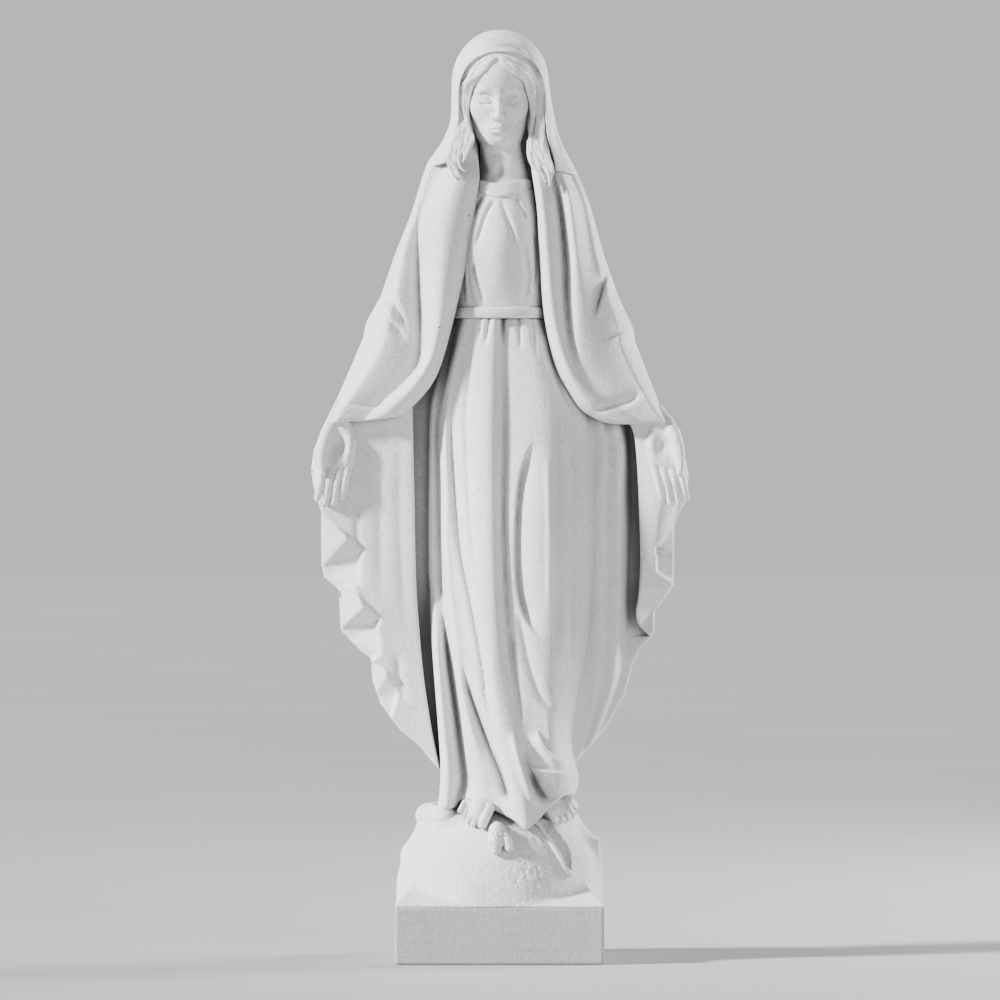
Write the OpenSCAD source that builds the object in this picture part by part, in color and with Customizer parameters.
// Standing robed figure with a mantle, on a globe and a square base slab.
// Origin: centre of the slab's underside. +Z up, the figure faces -Y.

/* [Base] */
// Width of the base slab, side to side
slab_w = 134; // [126:1:142]
// Depth of the base slab, front to back
slab_d = 134; // [130:1:142]
// Height of the base slab
slab_h = 37; // [32:1:40]
// Radius of the slab's upright corners
slab_corner_r = 1.5; // [1:0.5:4]
// Radius of the globe
globe_r = 67; // [65:1:70]
// Height of the globe's centre above the ground
globe_z = 41; // [39:1:43]

/* [Figure] */
// Height of the whole statue
statue_h = 600; // [590:5:620]
// Height of the lower edge of the girdle
girdle_z = 412; // [408:1:416]
// Height of the girdle band
girdle_h = 10; // [8:1:12]
// Height of the top of the collar band
collar_z = 504; // [500:1:508]
// Height of the sleeves' lower edge
sleeve_z = 347; // [343:1:351]
// Height of the mantle's lowest point
mantle_foot_z = 120; // [112:1:124]

/* [Inside] */
// Diameter of the steel reinforcing rod
rod_d = 6; // [4:1:8]
// Height at which the rod starts, above the underside
rod_foot_z = 10; // [6:1:16]
// Height at which the rod ends, inside the head
rod_top_z = 556; // [540:1:560]

/* [Hidden] */
stone = [0.90, 0.90, 0.89];
gap = 0.05;          // seam between two castings
facet_gap = 0.2;     // the same, where the neighbour is a true ball and the cutter has flats
hand_tilt = 9;       // fingers lean outwards by this many degrees
fine = 12;           // segments round fingers, toes and locks
smooth = 24;         // segments round larger modelled forms

// ---------- outlines: [height, x], read with lookup() ----------
// The figure's right is at -X.
skirt_outline_r = [[85, 13], [92, -4], [99, -26], [103, -41], [107, -42], [120, -38], [135, -39],
                   [190, -43], [255, -45], [290, -44], [350, -42], [380, -36], [412, -29]];
skirt_outline_l = [[85, 21], [92, 32], [99, 42], [103, 50], [115, 51], [135, 47], [160, 42],
                   [225, 44], [290, 46], [350, 47], [380, 38], [412, 30]];
skirt_front = [[85, -57], [100, -52], [135, -46], [190, -42], [260, -42], [330, -37], [412, -27]];

bodice_outline = [[422, 30], [440, 31], [465, 29], [485, 25], [494, 22]];
bodice_front = [[422, -28], [440, -33], [462, -34], [480, -29], [494, -24]];

mantle_outline_r = [[120, -37], [137, -51], [148, -64], [165, -77], [194, -83], [205, -96],
                    [238, -103], [246, -114], [289, -115], [305, -120], [315, -121.5], [327, -120],
                    [343, -114], [360, -105], [382, -96], [401, -88], [411, -86], [427, -77],
                    [455, -67], [481, -57], [505, -48], [512, -43]];
mantle_outline_l = [[120, 44], [128, 50], [148, 68], [170, 80], [199, 90], [212, 100], [224, 100],
                    [240, 112], [279, 112.5], [295, 119], [311, 121.5], [332, 118], [346, 110],
                    [360, 102], [379, 95], [398, 88], [408, 86], [427, 77], [452, 68], [488, 58],
                    [507, 49], [512, 44]];
mantle_back_depth = [[120, 30], [180, 36], [250, 42], [345, 45], [420, 43], [470, 39], [512, 30]];

// Inner edges of the two front panels, from the sleeve's lower edge to the neck
panel_inner_r = [[347, -66], [351, -60], [356, -55], [367, -46], [382, -38], [414, -29], [459, -19],
                 [500, -13], [508, -12]];
panel_inner_l = [[347, 72], [352, 56], [361, 48], [370, 44], [384, 38], [416, 29], [457, 24],
                 [500, 21], [508, 21]];
panel_front = [[347, -21], [360, -25], [400, -31], [440, -35], [480, -34], [500, -30], [508, -24]];

veil_outline_r = [[508, -49], [514, -46], [526, -38], [540, -32], [555, -31], [577, -28], [590, -20],
                  [596, -12], [600, -3]];
veil_outline_l = [[508, 50], [517, 45], [536, 37.5], [555, 34], [574, 31], [588, 24], [595, 15],
                  [600, 3]];
veil_front = [[508, -17], [530, -16], [560, -16], [575, -20], [590, -15], [600, -1]];
veil_back = [[508, 38], [530, 34], [560, 33], [580, 28], [592, 19], [600, 4]];

// ---------- small helpers ----------
function steps(a, b, n) = [for (i = [0:n]) a + (b - a) * i / n];
function across(t, a, b) = (a + b) / 2 + t * (b - a) / 2;
function bulge(t, p = 2) = pow(max(0, 1 - pow(abs(t), p)), 1 / p);

// Two triangles that close the strip between rows a and b, at columns i and j
function strip(a, b, i, j) = [[a + i, b + j, a + j], [a + i, b + i, b + j]];

// A solid between a front and a back surface. right(z) and left(z) are its edges, front(t, z) and
// back(t, z) its depths, where t runs from -1 at the right edge to 1 at the left edge.
module draped(heights, right, left, front, back, n = 12) {
    cols = [for (i = [0:n]) -cos(180 * i / n)];
    m = 2 * (n + 1);
    points = [for (z = heights) each concat(
        [for (t = cols) [across(t, right(z), left(z)), front(t, z), z]],
        [for (i = [n:-1:0]) [across(cols[i], right(z), left(z)), back(cols[i], z), z]])];
    top = m * (len(heights) - 1);
    sides = [for (k = [0:len(heights) - 2]) for (i = [0:m - 1]) each
        strip(m * k, m * (k + 1), i, (i + 1) % m)];
    lids = [for (i = [0:n - 1]) each [
        [i, i + 1, m - 1 - i], [i + 1, m - 2 - i, m - 1 - i],
        [top + i, top + m - 1 - i, top + i + 1], [top + i + 1, top + m - 1 - i, top + m - 2 - i]]];
    polyhedron(points, concat([for (f = sides) [f[0], f[2], f[1]]], lids), convexity = 6);
}

// A tube through points [x, y, z], with one radius for each
module tube(path, radii, sides = 10) {
    last = len(path) - 1;
    rings = [for (k = [0:last])
        let (d = path[min(k + 1, last)] - path[max(k - 1, 0)],
             along = d / norm(d),
             s = cross(along, [0, 0, 1]),
             side = s / norm(s),
             up = cross(side, along))
        each [for (i = [0:sides - 1]) let (a = 360 * i / sides)
              path[k] + radii[k] * (cos(a) * side + sin(a) * up)]];
    walls = [for (k = [0:last - 1]) for (i = [0:sides - 1]) each
        strip(sides * k, sides * (k + 1), i, (i + 1) % sides)];
    ends = [for (i = [1:sides - 2]) each [
        [0, i + 1, i], [sides * last, sides * last + i, sides * last + i + 1]]];
    polyhedron(rings, concat([for (f = walls) [f[0], f[2], f[1]]], ends), convexity = 6);
}

// A limb or finger: the hull of two balls
module limb(a, b, ra, rb) {
    hull() {
        translate(a) sphere(ra, $fn = fine);
        translate(b) sphere(rb, $fn = fine);
    }
}

module ball(centre, radii) {
    translate(centre) resize(2 * radii) sphere(1, $fn = smooth);
}

module rod_shape(extra = 0) {
    translate([0, 0, rod_foot_z - extra])
        cylinder(d = rod_d + 2 * extra, h = rod_top_z - rod_foot_z + 2 * extra, $fn = 24);
}

// Booleans between modelled forms are done on the mesh: resize() with zeros keeps the size.
module modelled() {
    resize([0, 0, 0]) children();
}

// ---------- base ----------
module base_slab() {
    inner_w = slab_w - 2 * slab_corner_r;
    inner_d = slab_d - 2 * slab_corner_r;
    color(stone) difference() {
        linear_extrude(slab_h) {
            square([slab_w, inner_d], center = true);
            square([inner_w, slab_d], center = true);
            for (x = [-1, 1], y = [-1, 1])
                translate([x * inner_w / 2, y * inner_d / 2]) circle(slab_corner_r, $fn = 24);
        }
        rod_shape(gap);
    }
}

module globe_ball(extra = 0) {
    translate([0, 0, globe_z]) sphere(globe_r + extra, $fn = 48);
}

// A squared remnant of the block stands beside the ball on the figure's left.
remnant_corner = [20, -10, slab_h];
remnant_size = [44.5, 67, 40];

module globe() {
    color(stone) difference() {
        union() {
            intersection() {
                globe_ball();
                translate([-slab_w / 2, -slab_d / 2, slab_h]) cube([slab_w, slab_d, globe_r * 2]);
            }
            translate(remnant_corner) cube(remnant_size);
        }
        rod_shape(gap);
    }
}

// The serpent lies round the top of the globe: its neck comes out at the front, and its tail
// runs down the front on the figure's left.
coil_r = 46;
coil_z = 92;
coil_thick = 7.5;
neck_path = [[0, -60, 77], [0, -58, 82], [-2, -54, 89], [-8, -47, 93]];
neck_radii = [4, 6, 6.5, 7];
function coil(from, to, n) = [for (a = steps(from, to, n)) [-coil_r * sin(a), -coil_r * cos(a), coil_z]];
tail_path = [[30, -43, 89], [37, -46, 79], [42, -48, 70], [44, -50, 58]];
tail_radii = [6.5, 5.2, 3.8, 1.2];

module serpent_shape() {
    body = coil(24, 306, 30);
    tube(concat(neck_path, body, tail_path),
         concat(neck_radii, [for (i = body) coil_thick], tail_radii));
    limb([-2, -58, 83], [-2, -62, 73], 6, 3.6);
    limb([4, -60, 79], [6, -62, 74], 4, 2.8);
}

module serpent() {
    color(stone) modelled() difference() {
        serpent_shape();
        globe_ball(facet_gap);
        feet_shapes(gap);
    }
}

// ---------- feet ----------
// One foot along -Y from its heel at the origin, with five toes
module foot(side) {
    toe_x = [-9, -4.2, -0.2, 3.6, 7];
    toe_r = [3.6, 2.8, 2.6, 2.4, 2.2];
    toe_y = [-2, -1.5, 0, 2, 4.5];
    modelled() mirror([side > 0 ? 1 : 0, 0, 0]) {
        hull() {
            translate([0, 0, 9]) sphere(8, $fn = fine);
            translate([-4, -40, 5.5]) sphere(6, $fn = fine);
            translate([4.5, -37, 4.5]) sphere(5.5, $fn = fine);
        }
        for (i = [0:4])
            limb([toe_x[i], -42 + toe_y[i], 4.5], [toe_x[i] - 0.5, -53 + toe_y[i], 2.5], toe_r[i], toe_r[i] - 0.2);
    }
}

module foot_right_shape() {
    translate([-13, -2, 94]) rotate([10, 0, -12]) foot(1);
}

module foot_left_shape() {
    translate([22, 2, 95]) rotate([8, 0, 32]) foot(-1);
}

module feet_shapes(extra = 0) {
    translate([0, 0, -extra]) {
        foot_right_shape();
        foot_left_shape();
    }
}

module foot_right() {
    color(stone) modelled() difference() {
        foot_right_shape();
        globe_ball(facet_gap);
        rod_shape(gap);
    }
}

module foot_left() {
    color(stone) modelled() difference() {
        foot_left_shape();
        globe_ball(facet_gap);
        rod_shape(gap);
    }
}

// ---------- gown ----------
skirt_heights = [85, 88, 92, 96, 99, 103, 107, 114, 122, 135, 150, 170, 190, 215, 240, 265, 290, 315,
                 340, 360, 380, 396, girdle_z];
pleats = 7;
pleat_depth = 2.2;

module skirt_shape() {
    draped(skirt_heights,
        function(z) lookup(z, skirt_outline_r), function(z) lookup(z, skirt_outline_l),
        function(t, z) lookup(z, skirt_front) * bulge(t, 2.4) + 2 * abs(t)
            + pleat_depth * cos(180 * pleats * t + 40),
        function(t, z) 4 + 17 * bulge(t), 18);
}

module skirt() {
    color(stone) modelled() difference() {
        skirt_shape();
        globe_ball(facet_gap);
        serpent_shape();
        feet_shapes();
        rod_shape(gap);
    }
}

// An oval band round the body
module band(z, h, rx, ry_front, ry_back, lean = 0) {
    draped([z, z + h * 0.25, z + h * 0.75, z + h],
        function(q) -rx + lean * (q - z), function(q) rx - lean * (q - z),
        function(t, q) -(ry_front - 0.8 * pow(2 * abs((q - z) / h - 0.5), 2)) * bulge(t),
        function(t, q) ry_back * bulge(t) + 0.5);
}

module girdle_shape() {
    band(girdle_z, girdle_h, 31, 30, 19);
}

module girdle() {
    color(stone) modelled() difference() {
        girdle_shape();
        rod_shape(gap);
    }
}

collar_h = 10;
gathers = 5;

module bodice_shape() {
    draped(steps(girdle_z + girdle_h, collar_z - collar_h, 8),
        function(z) -lookup(z, bodice_outline), function(z) lookup(z, bodice_outline),
        function(t, z) lookup(z, bodice_front) * bulge(t, 2.3)
            + 1.2 * cos(180 * gathers * t) * bulge(t),
        function(t, z) 18 * bulge(t) + 0.5, 14);
}

module bodice() {
    color(stone) modelled() difference() {
        bodice_shape();
        rod_shape(gap);
    }
}

module collar_shape() {
    band(collar_z - collar_h, collar_h, 22, 25, 17, 0.4);
}

module collar() {
    color(stone) modelled() difference() {
        collar_shape();
        neck_shape(gap);
        rod_shape(gap);
    }
}

// ---------- head ----------
neck_h = 45;
neck_foot_r = 14.5;
neck_top_r = 12;
skull_centre = [0, 2, 566];
skull_radii = [20.5, 25, 24];
face_centre = [0, -7, 551];
face_radii = [18.5, 18, 25];
nose_bridge = [0, -24, 558];
nose_tip = [0, -28, 547];

module neck_shape(extra = 0) {
    translate([0, 0, collar_z - collar_h - extra])
        cylinder(r1 = neck_foot_r + extra, r2 = neck_top_r + extra, h = neck_h, $fn = smooth);
}

module head_shape() {
    neck_shape();
    ball(skull_centre, skull_radii);
    ball(face_centre, face_radii);
    limb(nose_bridge, nose_tip, 1.8, 3.2);
}

module head() {
    color(stone) modelled() difference() {
        head_shape();
        rod_shape(gap);
    }
}

// The hair: a cap over the skull and a fall of locks down each side
hair_centre = [0, 1.5, 566];
hair_radii = [25, 28, 27.5];
lock_path = [[21, -10, 566], [22, -12, 535], [26, -24, 508], [29, -30, 494]];
lock_radii = [6, 6.5, 7, 3];

module hair_shape() {
    ball(hair_centre, hair_radii);
    for (m = [0, 1], i = [0:2])
        mirror([m, 0, 0]) limb(lock_path[i], lock_path[i + 1], lock_radii[i], lock_radii[i + 1]);
}

module face_window() {
    ball([0, -20, 551], [19.5, 20, 26]);
}

module hair() {
    color(stone) modelled() difference() {
        hair_shape();
        head_shape();
        face_window();
        collar_shape();
        bodice_shape();
    }
}

// ---------- mantle ----------
lining_y = 2;        // the lining lies just behind the figure's middle
edge_t = 6;          // thickness of the mantle's outer edge
back_folds = 9;
fold_depth = 1.1;

module mantle_back_shape() {
    draped(concat([for (r = mantle_outline_r) r[0]]),
        function(z) lookup(z, mantle_outline_r), function(z) lookup(z, mantle_outline_l),
        function(t, z) lining_y,
        function(t, z) lining_y + edge_t + (lookup(z, mantle_back_depth) - lining_y - edge_t)
            * bulge(t, 1.7) + fold_depth * cos(180 * back_folds * t) * bulge(t), 18);
}

module mantle_back() {
    color(stone) modelled() difference() {
        mantle_back_shape();
        skirt_shape();
        girdle_shape();
        bodice_shape();
        collar_shape();
        neck_shape(gap);
        hair_shape();
    }
}

panel_heights = [347, 349, 352, 358, 366, 380, 400, 420, 440, 460, 480, 495, 503, 508];

// side is -1 for the figure's right. The inner edge stays thick; the outer edge thins to edge_t.
module panel(inner, outer, side) {
    draped(panel_heights,
        function(z) min(lookup(z, inner), lookup(z, outer)),
        function(z) max(lookup(z, inner), lookup(z, outer)),
        function(t, z) -edge_t + (lookup(z, panel_front) + edge_t)
            * (side * t < 0 ? 1 - 0.1 * t * t : bulge(t, 2.2)),
        function(t, z) lining_y - gap);
}

module front_panel_cuts() {
    skirt_shape();
    girdle_shape();
    bodice_shape();
    collar_shape();
    neck_shape(gap);
    hair_shape();
}

module mantle_front_right() {
    color(stone) modelled() difference() {
        panel(panel_inner_r, mantle_outline_r, -1);
        front_panel_cuts();
        hand_shape(-1);
    }
}

module mantle_front_left() {
    color(stone) modelled() difference() {
        panel(panel_inner_l, mantle_outline_l, 1);
        front_panel_cuts();
        hand_shape(1);
    }
}

// The hanging falls below the sleeves, with stepped hems
fall_t = 11;
fall_heights_r = [128, 137, 148, 165, 186, 194, 205, 222, 238, 247, 265, 289, 305, 315, 327, 340, 347];
fall_inner_r = [[128, -40], [170, -43], [230, -50], [290, -54], [347, -56]];
fall_heights_l = [212, 218, 224, 240, 260, 279, 295, 311, 325, 338, 347];
fall_inner_l = [[212, 96], [222, 90], [240, 89], [300, 88], [330, 87], [347, 80]];

module mantle_fall_right() {
    color(stone) modelled() difference() {
        draped(fall_heights_r,
            function(z) lookup(z, mantle_outline_r), function(z) lookup(z, fall_inner_r),
            function(t, z) -edge_t - fall_t * bulge(t, 3), function(t, z) lining_y - gap);
        hand_shape(-1);
        skirt_shape();
    }
}

module mantle_fall_left() {
    color(stone) modelled() difference() {
        draped(fall_heights_l,
            function(z) lookup(z, fall_inner_l), function(z) lookup(z, mantle_outline_l),
            function(t, z) -edge_t - fall_t * bulge(t, 3), function(t, z) lining_y - gap);
        hand_shape(1);
    }
}

// ---------- hands ----------
// side is -1 for the figure's right hand and 1 for its left. The fingers point down.
module hand_shape(side) {
    modelled() translate([side * 105, -16, 345]) rotate([4, -side * hand_tilt, 0]) mirror([side < 0 ? 1 : 0, 0, 0]) {
        hull() {
            translate([-1, 1, 4]) sphere(8, $fn = fine);
            translate([-7, -1, -24]) sphere(4, $fn = fine);
            translate([6, -1, -24]) sphere(4, $fn = fine);
        }
        for (i = [0:3])
            limb([-8 + 4.8 * i, -2, -26], [-7.6 + 4.4 * i, -6, -47 + 1.8 * abs(i - 1.6)], 2.9, 2.2);
        limb([6, -3, -8], [10, -6, -28], 4.2, 2.6);
    }
}

module hand_right() {
    color(stone) hand_shape(-1);
}

module hand_left() {
    color(stone) hand_shape(1);
}

// ---------- veil ----------
// The opening that leaves the face, the hair and the neck free
window_outline = [[500, 36], [514, 34], [521, 32], [540, 26], [549, 26], [571, 23], [578, 17], [584, 4]];

module veil_window() {
    draped([for (r = window_outline) r[0]],
        function(z) -lookup(z, window_outline), function(z) lookup(z, window_outline),
        function(t, z) -60, function(t, z) lining_y, 8);
}

module veil() {
    color(stone) modelled() difference() {
        draped([508, 511, 517, 526, 540, 555, 566, 577, 586, 592, 596, 598.5, statue_h],
            function(z) lookup(z, veil_outline_r), function(z) lookup(z, veil_outline_l),
            function(t, z) lookup(z, veil_front) * bulge(t, 2.2),
            function(t, z) lookup(z, veil_back) * bulge(t, 2.2) + 0.2, 16);
        hair_shape();
        head_shape();
        veil_window();
        mantle_back_shape();
    }
}

module reinforcing_rod() {
    color("silver") rod_shape();
}

base_slab();
globe();
serpent();
foot_right();
foot_left();
skirt();
girdle();
bodice();
collar();
mantle_back();
mantle_front_right();
mantle_front_left();
mantle_fall_right();
mantle_fall_left();
hand_right();
hand_left();
head();
hair();
veil();
reinforcing_rod();
